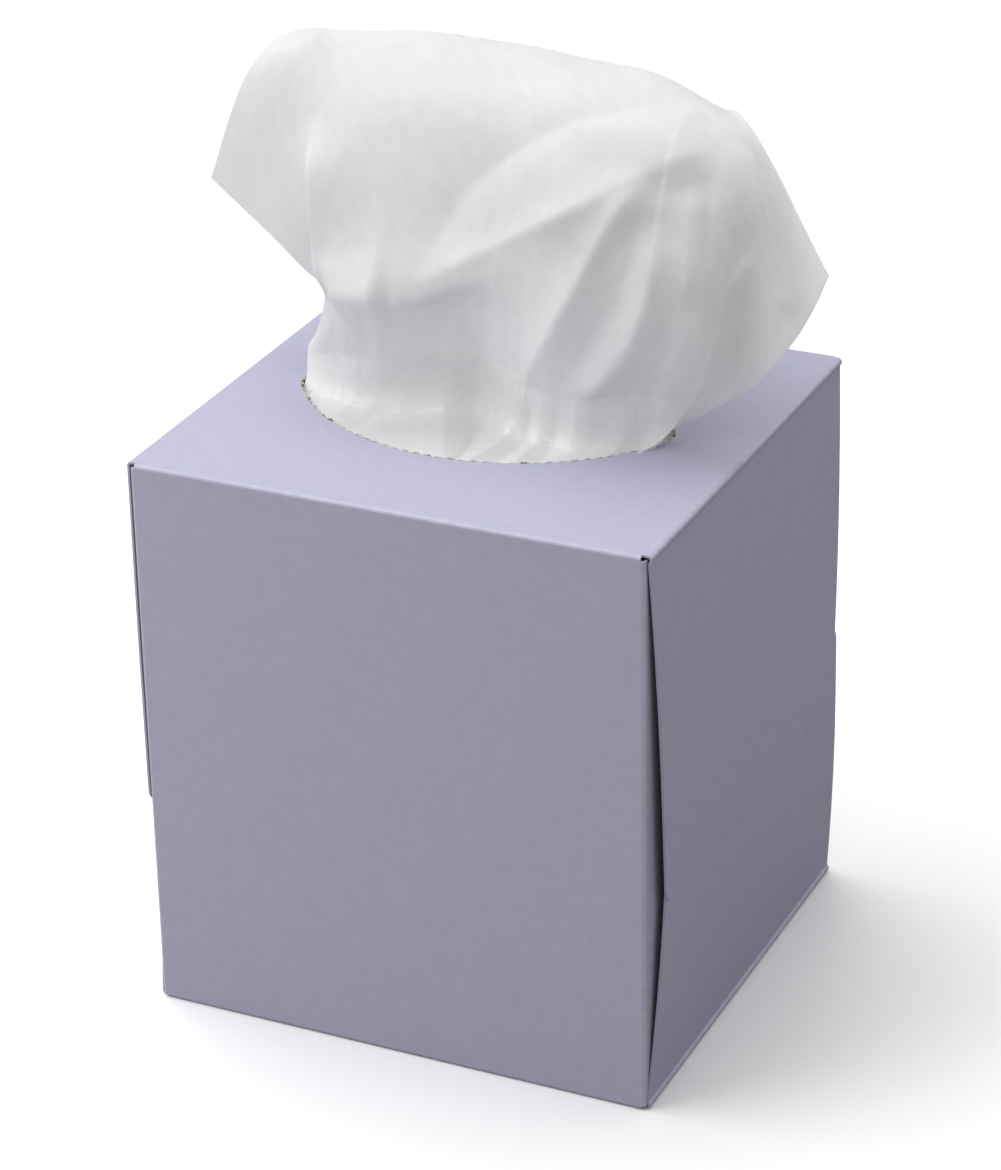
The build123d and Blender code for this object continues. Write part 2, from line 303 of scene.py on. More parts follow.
# %% [markdown]
# ## Tissue
# Facial tissue is creped paper in two thin plies: white, quite matt, and thin enough to let light through,
# so a Translucent shader takes part of the light that a plain white surface would send back. Its crepe is a
# close ripple across the sheet. Real crepe is about a third of a millimetre apart, and it is drawn here
# twice as coarse so that it shows. The fibres lie in soft clouds of a few millimetres. All of this follows
# the sheet, so it reads the UV map.

# %% Tissue finish
TISSUE_WHITE = "#F4F4F4"
TISSUE_THIN = "#F0F0F1"
CREPE_MM = 0.7
CREPE_DRAWN_OUT = 0.22
CLOUD_MM = 4.0
LIGHT_THROUGH = 0.42
LYING_THROUGH = 0.17


def tissue_material(name, width_mm, length_mm, lying_share):
    """White creped tissue for a sheet of the given size, whose first share along lies on others."""
    # Creped tissue: soft and matt, with a fine ripple, cloudy fibre and a glow where light comes through
    material, tree = new_material(name)
    where = add(tree, "ShaderNodeTexCoord")
    size = add(
        tree,
        "ShaderNodeVectorMath",
        {0: where.outputs["UV"], 1: (width_mm, length_mm, 1)},
        operation="MULTIPLY",
    )
    drawn = add(
        tree,
        "ShaderNodeVectorMath",
        {0: size.outputs[0], 1: (CREPE_DRAWN_OUT, 1.0, 1.0)},
        operation="MULTIPLY",
    )
    crepe = add(
        tree,
        "ShaderNodeTexNoise",
        {"Vector": drawn.outputs[0], "Scale": 1 / CREPE_MM, "Detail": 3.0, "Roughness": 0.6},
    )
    cloud = add(tree, "ShaderNodeTexNoise", {"Vector": size.outputs[0], "Scale": 1 / CLOUD_MM, "Detail": 5.0})
    white = add(tree, "ShaderNodeValToRGB", {"Fac": cloud.outputs["Fac"]})
    white.color_ramp.elements[0].position = 0.3
    white.color_ramp.elements[0].color = linear(TISSUE_THIN)
    white.color_ramp.elements[1].position = 0.65
    white.color_ramp.elements[1].color = linear(TISSUE_WHITE)
    bump = add(
        tree, "ShaderNodeBump", {"Height": crepe.outputs["Fac"], "Strength": 0.10, "Distance": 0.12 * MM}
    )
    face = add(
        tree,
        "ShaderNodeBsdfPrincipled",
        {
            "Base Color": white.outputs["Color"],
            "Roughness": 0.92,
            "Specular IOR Level": 0.15,
            "Normal": bump.outputs["Normal"],
        },
    )
    through_light = add(
        tree, "ShaderNodeBsdfTranslucent", {"Color": white.outputs["Color"], "Normal": bump.outputs["Normal"]}
    )
    share = add(tree, "ShaderNodeSeparateXYZ", {0: where.outputs["UV"]})
    thin = add(
        tree,
        "ShaderNodeMapRange",
        {
            "Value": share.outputs["Y"],
            "From Min": 0.6 * lying_share,
            "From Max": 1.3 * lying_share,
            "To Min": LYING_THROUGH,
            "To Max": LIGHT_THROUGH,
        },
    )
    sheet = add(
        tree, "ShaderNodeMixShader", {0: thin.outputs[0], 1: face.outputs[0], 2: through_light.outputs[0]}
    )
    add(tree, "ShaderNodeOutputMaterial", {"Surface": sheet.outputs[0]})
    return material


SHEET_WIDTH_MM = 200.0
SHEET_SHOWN_MM = 130.0
SKIRT_SHARE = 0.34
standing_tissue = tissue_material("creped facial tissue", SHEET_WIDTH_MM, SHEET_SHOWN_MM, SKIRT_SHARE)
print("tissue finish ready")

# %% [markdown]
# ## Standing sheet
# One sheet stands out of the slit, as it does after the sheet before it was pulled: gathered at the slit,
# fanned out above it, and bent over backwards at the top. Paper this stiff keeps the folds it was given in
# the pack, so a cloth simulation, which lets it fall, loses them. It is drawn instead as a skin over nine
# ribs, close to those in CAD but with the free edges curled further forward. Each rib goes from the slit to
# the free edge, and then folds are raised on the skin along lines that are placed by share across and share
# along the sheet.

# %% Ribs and folds
RIBS = np.array(
    [
        [
            (-36, 0, 0), (-42.5, 1, 5), (-39.5, 2, 11), (-37, 3, 17.5),
            (-43, 3, 22), (-49.5, 4, 27), (-58.5, 7, 31.5), (-68, 10, 36.5),
        ],
        [
            (-33, 0, 0), (-34.5, -4, 8), (-31.5, -9, 19.5), (-33.5, -6, 30.5),
            (-37, -3, 43), (-43, 4, 52.5), (-50, 11, 63), (-60, 16, 61),
        ],
        [
            (-25, 0, 0), (-22.5, -7, 10.5), (-18.5, -13, 24.5), (-20, -9, 36.5),
            (-23.5, -3, 49.5), (-30.5, 6, 60.5), (-43, 21, 66), (-53, 34, 63),
        ],
        [
            (-12, 0, 0), (-8, -6, 11.5), (-3.5, -11, 26), (-3, -9, 39.5),
            (-5.5, -3, 52.5), (-10.5, 8, 63.5), (-25, 28, 67.5), (-31.5, 42, 56.5),
        ],
        [
            (1, 0, 0), (5, -7, 11), (9, -11, 26.5), (10.5, -9, 41.5),
            (10.5, -4, 57.5), (4, 9, 65.5), (-7, 30, 66.5), (-11, 45, 55.5),
        ],
        [
            (14, 0, 0), (19, -9, 11), (23, -12, 25.5), (25.5, -10, 41),
            (25.5, -5.5, 56.5), (22, 4, 67), (12, 30, 65.5), (10.5, 44, 55),
        ],
        [
            (26, 0, 0), (32, -7, 11.5), (37.5, -10, 24.5), (40, -9, 39),
            (41, -5.5, 53), (39.5, 1, 63.5), (33.5, 20, 65.5), (33.5, 36, 56.5),
        ],
        [
            (33, 0, 0), (42.5, -3, 9.5), (48, -6.5, 21), (51.5, -7, 34),
            (53.5, -5, 45.5), (54, -1.5, 53.5), (53, 5, 59), (49.5, 14, 62),
        ],
        [
            (35, 0, 0), (43.5, 1, 4.5), (49.5, 1, 9), (55, 1.5, 13),
            (60.5, -0.5, 19.5), (66, -2.5, 27), (69.5, -2.5, 34), (72, -2, 40.5),
        ],
    ]
)
# Points as (share across, share along), then in mm: height, spread left and right, roundness of the crest
FOLDS = [
    ([(0.285, 0.31), (0.375, 0.372), (0.475, 0.422), (0.58, 0.485), (0.68, 0.57)], 1.5, 4.0, 7.0, 0.5),
    ([(0.46, 0.415), (0.58, 0.485), (0.662, 0.552), (0.748, 0.645), (0.83, 0.74)], 2.0, 10.0, 8.0, 0.6),
    ([(0.53, 0.06), (0.60, 0.30), (0.65, 0.46), (0.72, 0.61)], 2.8, 4.5, 6.5, 0.8),
    ([(0.62, 0.06), (0.71, 0.23), (0.738, 0.39), (0.73, 0.53)], 2.8, 5.0, 5.5, 1.2),
    ([(0.81, 0.36), (0.80, 0.50), (0.78, 0.62)], 1.2, 5.0, 6.0, 0.8),
    (
        [(0.30, 0.32), (0.34, 0.43), (0.375, 0.52), (0.43, 0.567), (0.54, 0.64), (0.70, 0.765), (0.80, 0.85)],
        -3.0, 12.0, 16.0, 1.0,
    ),
    ([(0.125, 0.30), (0.124, 0.43), (0.135, 0.55), (0.152, 0.72)], 2.4, 6.0, 9.0, 0.2),
    ([(0.125, 0.32), (0.124, 0.43), (0.135, 0.55), (0.15, 0.70)], 0.8, 1.6, 3.0, 0.1),
    ([(0.13, 0.33), (0.27, 0.30)], 2.4, 8.0, 4.0, 0.8),
    ([(0.36, 0.33), (0.41, 0.20), (0.45, 0.10)], -4.5, 9.0, 9.0, 2.0),
    ([(0.62, 0.14), (0.68, 0.30), (0.70, 0.45), (0.71, 0.54)], -1.0, 5.0, 5.0, 1.0),
    ([(0.89, 0.56), (0.94, 0.65), (0.99, 0.75)], 0.9, 3.0, 4.0, 0.5),
]
print(len(RIBS), "ribs and", len(FOLDS), "folds")

# %% Curves through ribs, and folds raised on them
PATH_STEPS = 48
END_FADE = 0.25  # share of a fold in which each of its ends dies out
STEEPNESS = 1.1
FOLD_REACH = 2.2  # spreads from the crest at which a fold dies out


def through(points, shares):
    """A smooth curve through rows of points, at shares of its way."""
    points = np.asarray(points, float)
    last = len(points) - 1
    spot = np.clip(shares, 0, 1) * last
    i = np.minimum(spot.astype(int), last - 1)
    f = (spot - i).reshape((-1,) + (1,) * (points.ndim - 1))
    ends = np.concatenate(([2 * points[0] - points[1]], points, [2 * points[-1] - points[-2]]))
    p0, p1, p2, p3 = ends[i], ends[i + 1], ends[i + 2], ends[i + 3]
    square = 2 * p0 - 5 * p1 + 4 * p2 - p3
    cube = 3 * p1 - p0 - 3 * p2 + p3
    return 0.5 * (2 * p1 + (p2 - p0) * f + square * f**2 + cube * f**3)


def sail(across, along):
    """Places of the sheet without its folds, for a row of shares across and a row along."""
    return through(through(RIBS, across).transpose(1, 0, 2), along)


def front_normals(grid):
    """The way the front of a grid of places looks."""
    normal = np.cross(np.gradient(grid, axis=1), np.gradient(grid, axis=0))
    return normal / (np.linalg.norm(normal, axis=2, keepdims=True) + 1e-12)


def fold_lift(base, fold):
    """How far one fold lifts each place of the sheet."""
    points, height, left, right_side, crest = fold
    line = through(points, np.linspace(0, 1, PATH_STEPS))
    spots = np.array([sail(spot[:1], spot[1:])[0, 0] for spot in line])
    leftward = []
    for k, (u, v) in enumerate(line):
        ahead = spots[min(k + 1, PATH_STEPS - 1)] - spots[max(k - 1, 0)]
        side = np.diff(sail(np.array([u - 0.01, u + 0.01]), np.array([v]))[0], axis=0)[0]
        rise = np.diff(sail(np.array([u]), np.array([v - 0.01, v + 0.01]))[:, 0], axis=0)[0]
        way = np.cross(np.cross(side, rise), ahead)
        leftward.append(way / np.linalg.norm(way))
    leftward = np.array(leftward)
    flat = base.reshape(-1, 3)
    nearest = np.full(len(flat), 1e9)
    reach = np.zeros(len(flat))
    leftness = np.zeros(len(flat))
    for k in range(PATH_STEPS - 1):
        run = spots[k + 1] - spots[k]
        share = np.clip((flat - spots[k]) @ run / (run @ run), 0, 1)
        offset = flat - spots[k] - share[:, None] * run
        gap = np.linalg.norm(offset, axis=1)
        closer = gap < nearest
        nearest[closer] = gap[closer]
        reach[closer] = k + share[closer]
        leftness[closer] = (0.5 + 0.5 * (offset @ leftward[k]) / np.maximum(gap, 0.01))[closer]
    spread = right_side + (left - right_side) * leftness
    ends = np.clip(np.minimum(reach, PATH_STEPS - 1 - reach) / PATH_STEPS / END_FADE, 0, 1)
    fade = ends * ends * (3 - 2 * ends)
    profile = np.exp(-STEEPNESS * (np.sqrt(nearest**2 + crest**2) - crest) / spread)
    profile *= np.exp(-((nearest / (FOLD_REACH * spread)) ** 2))
    return (height * fade * profile).reshape(base.shape[:2])


print("curve helpers ready")

# %% [markdown]
# The skin starts as a flat grid, whose UV map stays as the flat sheet's own measure, and its points move to
# their places. Above the slit they follow the ribs and the folds. Below it the same sheet spreads out under
# the film to the front rim of the opening, like the skirt of a bell: each column goes on from its own slope
# at the slit and lands at its own place at the rim. Creases run down the skirt, some of them as the ends of
# folds from above.

# %% The sheet above the slit
SHEET_ACROSS = 220
SHEET_ALONG = 114
SHEET_MM = 0.25
WAIST = 1 / 7  # share along the ribs at which the skirt begins
RIPPLES = ((9, 0.16), (14, 0.12), (23, 0.06))  # waves across, height in mm
RIPPLE_FADE = 0.30
DENTS = 14
DENT_MM = 0.06
rng = np.random.default_rng(7)
across = np.linspace(0, 1, SHEET_ACROSS + 1)
along = np.linspace(WAIST, 1, SHEET_ALONG + 1)
base = sail(across, along)
u, v = np.meshgrid(across, along)
ripple = np.zeros_like(u)
for waves, size in RIPPLES:
    phase = rng.uniform(0, 2 * math.pi)
    lean = rng.uniform(-2.0, 2.0)
    ripple += size * np.sin(2 * math.pi * waves * u + lean * v * 3 + phase)
ripple *= np.exp(-v / RIPPLE_FADE)
dents = np.zeros_like(u)
for _ in range(DENTS):
    turn = rng.uniform(0, 2 * math.pi)
    pitch = rng.uniform(2.0, 7.0)
    run = u * math.cos(turn) + 0.6 * v * math.sin(turn)
    dents += np.sin(2 * math.pi * pitch * run + rng.uniform(0, 6.3))
dents *= DENT_MM * np.clip(v / 0.2, 0, 1)
lift = sum(fold_lift(base, fold) for fold in FOLDS)
upper = base + front_normals(base) * (lift + ripple + dents)[..., None]
print("sheet above the slit, lifted %.1f to %.1f mm by its folds" % (lift.min(), lift.max()))

# %% Where the skirt lands
OPENING_SHIFT = -1.8
OPENING_HALF_WIDTH = 26.0
OPENING_SIDE_RADIUS = 47.0
OPENING_END_RADIUS = 7.0
film_level = (film_low[2] + film_high[2]) / 2 / MM - TOP / MM
# For each crease, from left to right: its share across, its place at the rim and its depth
CREASES = np.array(
    [
        (0.00, -41.5, 0.2),
        (0.05, -39.0, 0.2),
        (0.12, -35.0, 0.3),
        (0.20, -31.0, 0.1),
        (0.26, -26.5, 1.6),
        (0.33, -17.0, 1.0),
        (0.37, 1.4, 0.0),
        (0.45, 2.4, 1.5),
        (0.535, 3.2, 0.0),
        (0.565, 7.5, 1.5),
        (0.59, 12.7, 0.1),
        (0.62, 16.0, 1.3),
        (0.658, 18.8, 0.0),
        (0.70, 21.3, 0.3),
        (0.76, 23.3, 0.1),
        (0.80, 27.0, 1.2),
        (0.90, 31.5, 0.2),
        (1.00, 35.0, 0.3),
    ]
)
TUCK_ACROSS = [0, 0.1, 0.80, 0.92, 1]
RIM_TUCK = [0.5, 1.5, 1.5, -1.5, -3.5]
UNDER_FILM = 0.6


def rim_front(x):
    """How far in front of the slit the rim of the opening lies."""
    arc = np.sqrt(np.clip(OPENING_SIDE_RADIUS**2 - (np.asarray(x) - OPENING_SHIFT) ** 2, 0, None))
    return np.clip(arc - OPENING_SIDE_RADIUS + OPENING_HALF_WIDTH, 0.5, None)


rim_x = np.interp(across, CREASES[:, 0], CREASES[:, 1])
hollow = np.interp(across, CREASES[:, 0], CREASES[:, 2])
tuck = np.interp(across, TUCK_ACROSS, RIM_TUCK)
rim_z = np.full_like(rim_x, film_level - UNDER_FILM)
rim = np.stack((rim_x, -rim_front(rim_x) - tuck, rim_z), axis=1)
print("skirt lands from x %.1f to %.1f mm" % (rim_x.min(), rim_x.max()))

# %% The skirt below the slit
SKIRT_ROWS = 60
SKIRT_PULL = 10.0  # how strongly a column keeps its slope at the slit
# How late each part of the skirt goes out to the rim, and how early it comes down
OUT_ACROSS = [0, 0.08, 0.18, 0.80, 0.92, 1]
OUT_POWER = [1.0, 1.4, 2.8, 2.8, 1.0, 0.7]
DOWN_POWER = [1.6, 2.0, 2.4, 2.4, 1.6, 1.4]
CREASE_FROM = 0.4  # share of the way at which a crease is at its full depth
FLATTER_FROM = 0.8  # and from which it is pressed flatter by the rim
waist = upper[0]
slope = upper[0] - upper[2]
slope *= SKIRT_PULL / np.linalg.norm(slope, axis=1, keepdims=True)
t = np.linspace(1, 0, SKIRT_ROWS + 1)[:-1, None, None]
way_out = t ** np.interp(across, OUT_ACROSS, OUT_POWER)[None, :, None]
way_down = 1 - (1 - t) ** np.interp(across, OUT_ACROSS, DOWN_POWER)[None, :, None]
shares = np.concatenate((way_out, way_out, way_down), axis=2)
skirt = waist + (t**3 - 2 * t**2 + t) * slope + shares * (rim - waist)
deepen = np.clip(t[..., 0] / CREASE_FROM, 0, 1)
flatter = 1 - 0.5 * np.clip((t[..., 0] - FLATTER_FROM) / 0.2, 0, 1)
deepen = deepen * deepen * (3 - 2 * deepen) * flatter
skirt -= front_normals(skirt) * (hollow * deepen)[..., None]
skin = np.concatenate((skirt, upper))
print("skirt from %.1f to %.1f mm above the top panel" % (skirt[..., 2].min(), skirt[..., 2].max()))


# %% Standing sheet
def sheet_from_grid(name, places):
    """A grid primitive whose points are moved to rows of places; its UV map stays flat."""
    deselect_all()
    rows, columns = places.shape[:2]
    bpy.ops.mesh.primitive_grid_add(x_subdivisions=columns - 1, y_subdivisions=rows - 1, size=1)
    piece = bpy.context.object
    piece.name = name
    flat = np.empty(len(piece.data.vertices) * 3)
    piece.data.vertices.foreach_get("co", flat)
    flat = flat.reshape(-1, 3)
    column = np.rint((flat[:, 0] + 0.5) * (columns - 1)).astype(int)
    row = np.rint((flat[:, 1] + 0.5) * (rows - 1)).astype(int)
    piece.data.vertices.foreach_set("co", places[row, column].ravel())
    piece.data.update()
    return piece


def thicken(piece, thickness):
    """Gives a skin its thickness and a smooth finish with crisp edges."""
    deselect_all()
    piece.select_set(True)
    bpy.context.view_layer.objects.active = piece
    solid = piece.modifiers.new("thickness", "SOLIDIFY")
    solid.thickness = thickness
    solid.offset = 0
    bpy.ops.object.modifier_apply(modifier=solid.name)
    bpy.ops.object.shade_smooth_by_angle(angle=math.radians(70))


standing_sheet = sheet_from_grid("standing_sheet", skin * MM + (0, 0, TOP))
sheet_area = sum(p.area for p in standing_sheet.data.polygons)
thicken(standing_sheet, SHEET_MM * MM)
standing_sheet.data.materials.append(standing_tissue)
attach(standing_sheet, "root")
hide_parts("pop_up_tissue")
print("standing sheet %.0f mm2, %d points" % (sheet_area / MM**2, len(standing_sheet.data.vertices)))

# %% [markdown]
# ## Stack of folded sheets
# The stack keeps its CAD shape. What tells a stack of paper from a block is the edge of each sheet, so its
# finish has lines at a sheet's spacing that follow the bend over the crown: each point's distance from the
# line where the bend begins. Real sheets lie closer than the eye can part them, so the lines are drawn
# about a millimetre apart.

# %% Stack finish
LEAF_MM = 1.1
SHOULDER_MM = 30.0
half_stack = stack_high[0]
# Folded tissue in a stack: matt white with fine soft lines, one for each leaf
stack_paper, tree = new_material("folded tissue stack")
where = add(tree, "ShaderNodeTexCoord")
mirrored = add(tree, "ShaderNodeVectorMath", {0: where.outputs["Object"]}, operation="ABSOLUTE")
bend = add(
    tree,
    "ShaderNodeVectorMath",
    {0: mirrored.outputs[0], 1: (half_stack - SHOULDER_MM * MM, 1.0, stack_high[2] - SHOULDER_MM * MM)},
    operation="SUBTRACT",
)
beyond = add(tree, "ShaderNodeVectorMath", {0: bend.outputs[0], 1: (0, 0, 0)}, operation="MAXIMUM")
depth = add(tree, "ShaderNodeVectorMath", {0: beyond.outputs[0]}, operation="LENGTH")
leaf = add(
    tree,
    "ShaderNodeMath",
    {0: depth.outputs["Value"], 1: 2 * math.pi / (LEAF_MM * MM)},
    operation="MULTIPLY",
)
edge = add(tree, "ShaderNodeMath", {0: leaf.outputs[0]}, operation="SINE")
cloud = add(
    tree,
    "ShaderNodeTexNoise",
    {"Vector": where.outputs["Object"], "Scale": 1 / (CLOUD_MM * MM), "Detail": 4.0},
)
rough_edge = add(
    tree,
    "ShaderNodeMath",
    {0: cloud.outputs["Fac"], 1: 0.8, 2: edge.outputs[0]},
    operation="MULTIPLY_ADD",
)
white = add(tree, "ShaderNodeValToRGB", {"Fac": cloud.outputs["Fac"]})
white.color_ramp.elements[0].color = linear(TISSUE_THIN)
white.color_ramp.elements[1].color = linear(TISSUE_WHITE)
bump = add(tree, "ShaderNodeBump", {"Height": rough_edge.outputs[0], "Strength": 0.3, "Distance": 0.25 * MM})
paper = add(
    tree,
    "ShaderNodeBsdfPrincipled",
    {
        "Base Color": white.outputs["Color"],
        "Roughness": 0.92,
        "Specular IOR Level": 0.15,
        "Normal": bump.outputs["Normal"],
    },
)
add(tree, "ShaderNodeOutputMaterial", {"Surface": paper.outputs[0]})
stack = bpy.data.objects["tissue_stack"]
stack.data.materials.clear()
stack.data.materials.append(stack_paper)
print("stack dressed")

# %% [markdown]
# ## Slit film
# A clear polyethylene film is glued under the opening, with a slit that holds the standing sheet. Each pull
# has stretched it, so in front of the sheet it lies up along the skirt to a loose, wavy lip, and behind the
# sheet it stays low. It is two grids, one on each side of the slit. The front one rests on the highest
# place of the skirt near each of its points. Beyond the ends of the slit the two are one.

# %% Where the film meets the sheet
FILM_MM = 0.08
SLIT_HALF = 3.0
SLIT_END = 38.5
LIP_X = [-38.5, -36, -30, -20, -10, 0, 9, 13, 18, 25, 31, 35, 38.5]
LIP_Z = [0.2, 0.6, 2.0, 4.0, 4.5, 4.2, 3.8, 4.5, 6.5, 7.0, 5.5, 3.0, 0.2]
LIP_CLEAR = 0.4
FILM_COLUMNS = 160
film_half_x = film_high[0] / MM
film_half_y = film_high[1] / MM
low_part = skin[: SKIRT_ROWS + 20].reshape(-1, 3)


def sheet_front(x_row, z_row):
    """The sheet's foremost place at each x, near the height given for it, as a smooth line."""
    front = []
    for x, z in zip(x_row, z_row):
        near = (np.abs(low_part[:, 0] - x) < 1.5) & (np.abs(low_part[:, 2] - film_level - z) < 1.0)
        front.append(low_part[near, 1].min() if near.any() else 0.0)
    padded = np.pad(np.array(front), 4, mode="edge")
    smooth = np.convolve(padded, np.ones(9) / 9, mode="valid")
    return np.minimum(smooth, np.array(front))


film_columns = np.linspace(-film_half_x, film_half_x, FILM_COLUMNS + 1)
lip_height = np.interp(film_columns, LIP_X, LIP_Z)
lip_front = np.minimum(-SLIT_HALF, sheet_front(film_columns, lip_height) - LIP_CLEAR)
at_end = np.clip((SLIT_END - np.abs(film_columns)) / 2.0, 0, 1)
lip_front = lip_front * np.sqrt(at_end)
print("lip from %.1f to %.1f mm in front of the slit" % (-lip_front[at_end > 0].max(), -lip_front.min()))

# %% The film in front of the sheet
FILM_ROWS = 44
FILM_REACH = 1.4
FILM_LIFT = 0.12
CURL_X = [-38, -5, 3, 14, 18, 38]
CURL_MM = [0.0, 0.0, 0.5, 0.4, 0.6, 0.2]
run = np.linspace(0, 1, FILM_ROWS + 1)[:, None] ** 1.5
front_y = lip_front + (-film_half_y - lip_front) * run
x_grid = np.broadcast_to(film_columns, front_y.shape)
coarse = skirt[::2, ::2].reshape(-1, 3)
rest = np.full(front_y.shape, film_level)
for k in range(FILM_ROWS + 1):
    apart = np.hypot(x_grid[k][:, None] - coarse[:, 0], front_y[k][:, None] - coarse[:, 1])
    highest = np.where(apart < FILM_REACH, coarse[:, 2], -9.0).max(axis=1)
    rest[k] = np.maximum(film_level, highest + 0.5 * SHEET_MM + FILM_LIFT)
smooth = np.pad(rest, 2, mode="edge")
smooth = sum(smooth[:, k : k + rest.shape[1]] for k in range(5)) / 5
smooth = sum(smooth[k : k + rest.shape[0]] for k in range(5)) / 5
inside = np.clip((front_y + rim_front(x_grid) - 0.4) / 1.5, 0, 1)
waves = 0.10 * np.sin(film_columns * 1.7) + 0.06 * np.sin(film_columns * 3.1 + 1)
front_z = film_level + (np.maximum(rest, smooth) - film_level) * inside * at_end
curl = np.interp(film_columns, CURL_X, CURL_MM)
front_z = front_z + (waves + curl) * at_end * np.exp(-12 * run)
front_z = np.where(at_end > 0, front_z, film_level)
print("film in front up to %.1f mm above its level" % (front_z.max() - film_level))

# %% The film behind the sheet, and the two as one
BACK_LIP_MM = 1.2
BACK_LIP_WIDE_MM = 2.5
back_edge = SLIT_HALF * np.sqrt(at_end)
back_y = back_edge + (film_half_y - back_edge) * run
back_z = film_level + BACK_LIP_MM * at_end * np.exp(-((back_y - back_edge) / BACK_LIP_WIDE_MM) ** 2)
back_z = np.where(at_end > 0, back_z, film_level)
front_places = np.stack((x_grid, front_y, front_z), axis=2) * MM + (0, 0, TOP)
back_places = np.stack((x_grid, back_y, back_z), axis=2) * MM + (0, 0, TOP)
film_front = sheet_from_grid("film_front", front_places)
film_back = sheet_from_grid("film_back", back_places)
deselect_all()
film_front.select_set(True)
film_back.select_set(True)
bpy.context.view_layer.objects.active = film_front
bpy.ops.object.join()
clear_film = film_front
clear_film.name = "clear_film"
bpy.ops.object.mode_set(mode="EDIT")
bpy.ops.mesh.select_all(action="SELECT")
bpy.ops.mesh.remove_doubles(threshold=0.02 * MM)
bpy.ops.mesh.normals_make_consistent(inside=False)
bpy.ops.object.mode_set(mode="OBJECT")
film_area = sum(p.area for p in clear_film.data.polygons)
thicken(clear_film, FILM_MM * MM)
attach(clear_film, "root")
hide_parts("slit_film")
print("film %.0f mm2" % (film_area / MM**2))

# %% [markdown]
# Clear film shows only its gloss, so its finish mixes a transparent shader with a glossy one, with more
# gloss at a low angle. It is not quite flat, which breaks the gloss into short bright lines.

# %% Film finish
FILM_WRINKLE_MM = 7.0
# Clear polyethylene film: unseen but for soft, short glints where it is steep to the eye
film_skin, tree = new_material("clear polyethylene film")
where = add(tree, "ShaderNodeTexCoord")
wrinkle = add(
    tree,
    "ShaderNodeTexNoise",
    {"Vector": where.outputs["Object"], "Scale": 1 / (FILM_WRINKLE_MM * MM), "Detail": 2.0},
)
bump = add(tree, "ShaderNodeBump", {"Height": wrinkle.outputs["Fac"], "Strength": 0.3, "Distance": 0.5 * MM})
sight = add(tree, "ShaderNodeLayerWeight", {"Blend": 0.5, "Normal": bump.outputs["Normal"]})
steep = add(tree, "ShaderNodeMath", {0: sight.outputs["Facing"], 1: 4.0}, operation="POWER")
shine = add(tree, "ShaderNodeMapRange", {"Value": steep.outputs[0], "To Min": 0.024, "To Max": 0.25})
gloss = add(
    tree,
    "ShaderNodeBsdfGlossy",
    {"Color": (1, 1, 1, 1), "Roughness": 0.18, "Normal": bump.outputs["Normal"]},
)
clear = add(tree, "ShaderNodeBsdfTransparent", {"Color": (1, 1, 1, 1)})
film_mix = add(tree, "ShaderNodeMixShader", {0: shine.outputs[0], 1: clear.outputs[0], 2: gloss.outputs[0]})
add(tree, "ShaderNodeOutputMaterial", {"Surface": film_mix.outputs[0]})
clear_film.data.materials.append(film_skin)
print("film dressed")

# %% [markdown]
# ## Next sheet
# Behind the standing sheet the next one shows through the film, still folded into the stack. It lies loose
# on it, in low waves, and dips under the slit.

# %% Next sheet
NEXT_HALF = 39.5
NEXT_FRONT = -12.0
NEXT_BACK = 24.5
NEXT_SIZE_MM = (79.0, 37.0)
NEXT_BELOW_MM = 1.1  # under the film
DIP_MM = 1.5
WAVE_MM = 0.35
DROP_MM = 1.5  # at the two ends
across_next = np.linspace(-NEXT_HALF, NEXT_HALF, 90)
along_next = np.linspace(NEXT_FRONT, NEXT_BACK, 52)
x_next, y_next = np.meshgrid(across_next, along_next)
dip = np.exp(-((np.clip(y_next, -1.0, 12.0) + 1.0) / 4.5) ** 2)
wave = np.sin(2 * math.pi * x_next / 17.0 + 0.10 * y_next)
wave += 0.5 * np.sin(2 * math.pi * x_next / 7.5 - 0.2 * y_next)
away = np.clip((np.abs(x_next) - 24.0) / 14.0, 0, 1) ** 2
z_next = film_level - NEXT_BELOW_MM - DIP_MM * dip + WAVE_MM * wave * (1 - dip) - DROP_MM * away
next_places = np.stack((x_next, y_next, z_next), axis=2) * MM + (0, 0, TOP)
next_sheet = sheet_from_grid("next_sheet", next_places)
next_area = sum(p.area for p in next_sheet.data.polygons)
thicken(next_sheet, SHEET_MM * MM)
next_tissue = tissue_material("creped facial tissue under film", *NEXT_SIZE_MM, lying_share=1.0)
next_sheet.data.materials.append(next_tissue)
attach(next_sheet, "root")
print("next sheet %.0f mm2" % (next_area / MM**2))

# %% [markdown]
# ## Torn rim
# The opening was torn out along a line of perforations, so its edge is a row of small stubs and hollows of
# bare, fibrous board. It is a ring that follows the oval: a circle primitive is set on the oval, its edge
# is pulled inwards by an uneven amount, and the ring gets the board's thickness.

# %% The line of the oval
RIM_POINTS = 900
side_drop = OPENING_SIDE_RADIUS - OPENING_HALF_WIDTH
inner_radius = OPENING_SIDE_RADIUS - OPENING_END_RADIUS
end_centre = math.sqrt(inner_radius**2 - side_drop**2)
end_turn = math.atan2(end_centre, side_drop)


